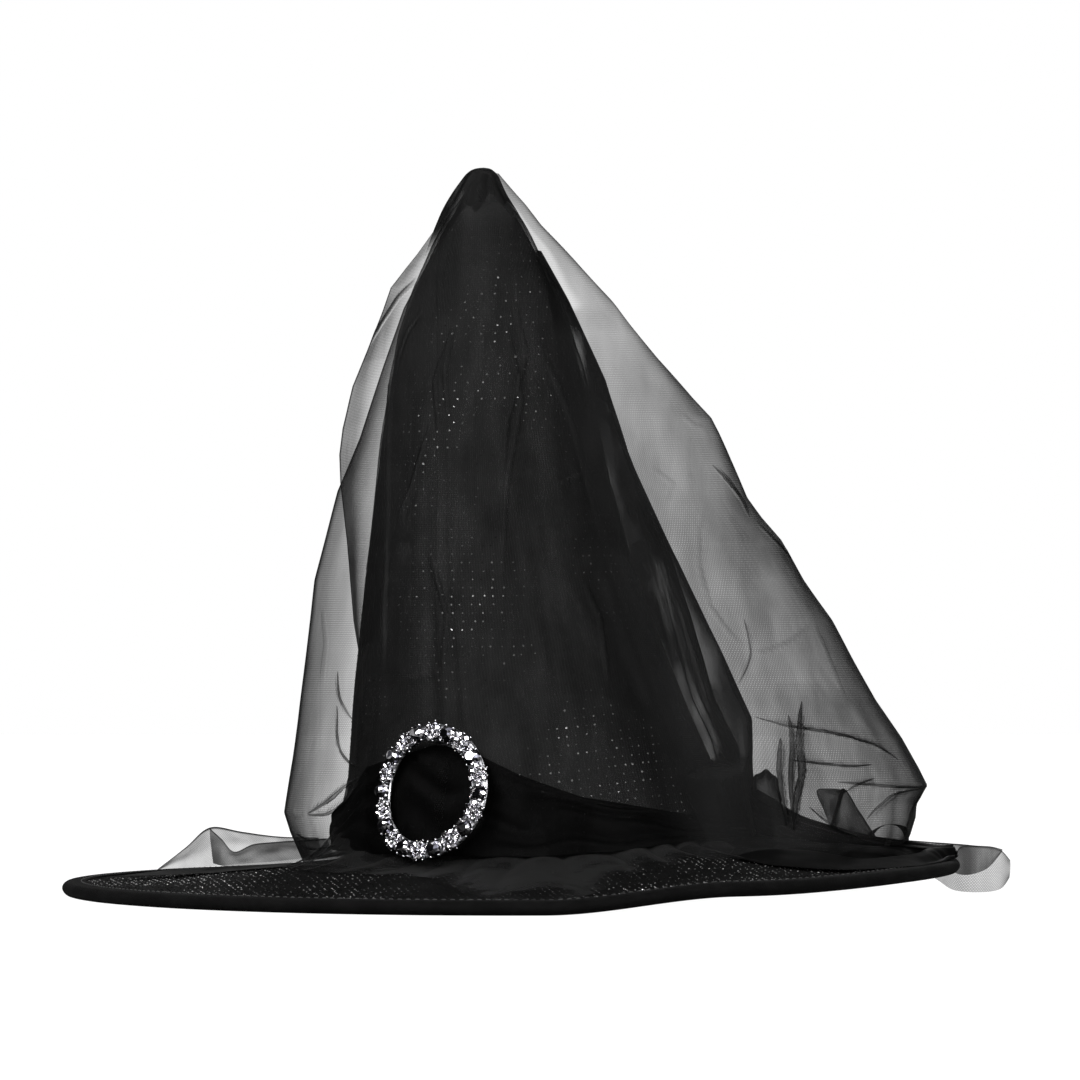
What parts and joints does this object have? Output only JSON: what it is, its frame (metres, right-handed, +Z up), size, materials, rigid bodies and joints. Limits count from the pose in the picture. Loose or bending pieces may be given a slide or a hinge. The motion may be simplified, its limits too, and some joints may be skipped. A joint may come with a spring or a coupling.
{
  "type": "witch hat",
  "caption": "Tall leaning cone hat with a wide wired brim, a sheer veil hung from the peak, a tulle sash knotted at the side and a round rhinestone slide buckle.",
  "frame": {"origin": "on the resting plane, at the middle of the footprint from the brim's left edge to the end of the sash tail", "axes": "+Z up, -Y the hat's front where the buckle sits, +X the side where the sash is knotted and its tail lies over the brim"},
  "size_m": [0.423, 0.4, 0.327],
  "materials": {
    "dotted_cloth": "black ribbed satin cloth with rows of small glitter dots",
    "brim_board": "black fibre board",
    "edge_tape": "smooth black bias tape, stitched",
    "spring_wire": "bare drawn wire",
    "interlining": "stiff open-weave buckram",
    "sweatband_ribbon": "black grosgrain ribbon",
    "thread": "twisted polyester thread",
    "tulle": "sheer black hexagon net",
    "silver_plate": "bright silver plate",
    "rhinestone": "foil-backed clear faceted stone"
  },
  "bodies": {
    "hat": {"brim_core": "brim_board", "brim_top_cover": "dotted_cloth", "brim_under_cover": "dotted_cloth", "brim_edge_tape": "edge_tape", "brim_edge_wire": "spring_wire", "crown_shell": "dotted_cloth", "crown_interlining": "interlining", "sweatband": "sweatband_ribbon", "peak_knot": "thread", "sash_band": "tulle", "sash_knot": "tulle", "sash_bow_front": "tulle", "sash_bow_back": "tulle", "sash_tail_run": "tulle", "veil_front_panel": "tulle", "veil_back_panel": "tulle"},
    "buckle": {"buckle_ring": "silver_plate", "buckle_bar": "silver_plate", "stone_large_01": "rhinestone", "stone_cluster_01": "rhinestone", "stone_large_02": "rhinestone", "stone_cluster_02": "rhinestone", "stone_large_03": "rhinestone", "stone_cluster_03": "rhinestone", "stone_large_04": "rhinestone", "stone_cluster_04": "rhinestone", "stone_large_05": "rhinestone", "stone_cluster_05": "rhinestone", "stone_large_06": "rhinestone", "stone_cluster_06": "rhinestone", "stone_large_07": "rhinestone", "stone_cluster_07": "rhinestone", "stone_large_08": "rhinestone", "stone_cluster_08": "rhinestone", "stone_large_09": "rhinestone", "stone_cluster_09": "rhinestone", "stone_large_10": "rhinestone", "stone_cluster_10": "rhinestone"},
    "veil_right": {"veil_right_side": "tulle"},
    "veil_left": {"veil_left_side": "tulle"},
    "tail": {"sash_tail_end": "tulle"}
  },
  "joints": [
    {"name": "buckle_slide", "type": "hinge", "parent": "hat", "child": "buckle", "pos_m": [-0.0033, 0, 0.046], "axis": [-0.0995, 0, 0.995], "range_deg": [-7, 7]},
    {"name": "veil_right_lift", "type": "hinge", "parent": "hat", "child": "veil_right", "pos_m": [-0.0242, 0, 0.322], "axis": [0, -1, 0], "range_deg": [0, 20]},
    {"name": "veil_left_lift", "type": "hinge", "parent": "hat", "child": "veil_left", "pos_m": [-0.0242, 0, 0.322], "axis": [0, 1, 0], "range_deg": [0, 18]},
    {"name": "sash_tail_lift", "type": "hinge", "parent": "hat", "child": "tail", "pos_m": [0.176, 0, 0.017], "axis": [0, -1, 0], "range_deg": [0, 30]}
  ]
}
